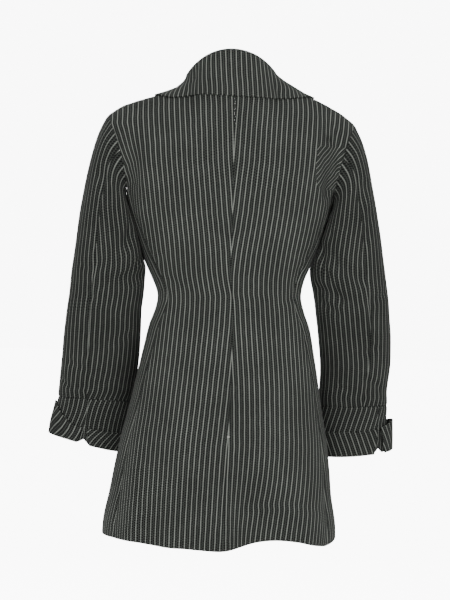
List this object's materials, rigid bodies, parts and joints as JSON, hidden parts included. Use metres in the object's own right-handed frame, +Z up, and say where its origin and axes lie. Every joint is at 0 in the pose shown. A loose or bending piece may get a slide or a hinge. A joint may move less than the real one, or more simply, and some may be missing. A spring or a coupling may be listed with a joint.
{
  "type": "wool coat",
  "caption": "Fitted, flared pinstripe wool coat in its worn, hollow shape, with a wide folded collar, two-piece sleeves and turned-back cuffs.",
  "frame": {"origin": "between the shoulders, level with the foot of the neck, where the wearer holds the coat up", "axes": "+Z up, the front faces -Y, +X is the wearer's left"},
  "size_m": [0.6201, 0.2776, 0.852],
  "materials": {
    "back_left": "dark pinstripe wool cloth",
    "back_right": "dark pinstripe wool cloth",
    "side_left": "dark pinstripe wool cloth",
    "side_right": "dark pinstripe wool cloth",
    "front_left": "dark pinstripe wool cloth",
    "front_right": "dark pinstripe wool cloth",
    "top_sleeve_left": "dark pinstripe wool cloth",
    "top_sleeve_right": "dark pinstripe wool cloth",
    "under_sleeve_left": "dark pinstripe wool cloth",
    "under_sleeve_right": "dark pinstripe wool cloth",
    "cuff_left": "dark pinstripe wool cloth",
    "cuff_right": "dark pinstripe wool cloth",
    "turnback_left": "dark pinstripe wool cloth",
    "turnback_right": "dark pinstripe wool cloth",
    "collar": "dark pinstripe wool cloth",
    "button_1": "plain black button",
    "button_2": "plain black button",
    "button_3": "plain black button"
  },
  "bodies": {
    "root": {"back_left": "back_left", "back_right": "back_right", "side_left": "side_left", "side_right": "side_right", "front_left": "front_left", "front_right": "front_right", "top_sleeve_left": "top_sleeve_left", "top_sleeve_right": "top_sleeve_right", "under_sleeve_left": "under_sleeve_left", "under_sleeve_right": "under_sleeve_right", "cuff_left": "cuff_left", "cuff_right": "cuff_right", "turnback_left": "turnback_left", "turnback_right": "turnback_right", "collar": "collar", "button_1": "button_1", "button_2": "button_2", "button_3": "button_3"}
  },
  "joints": []
}
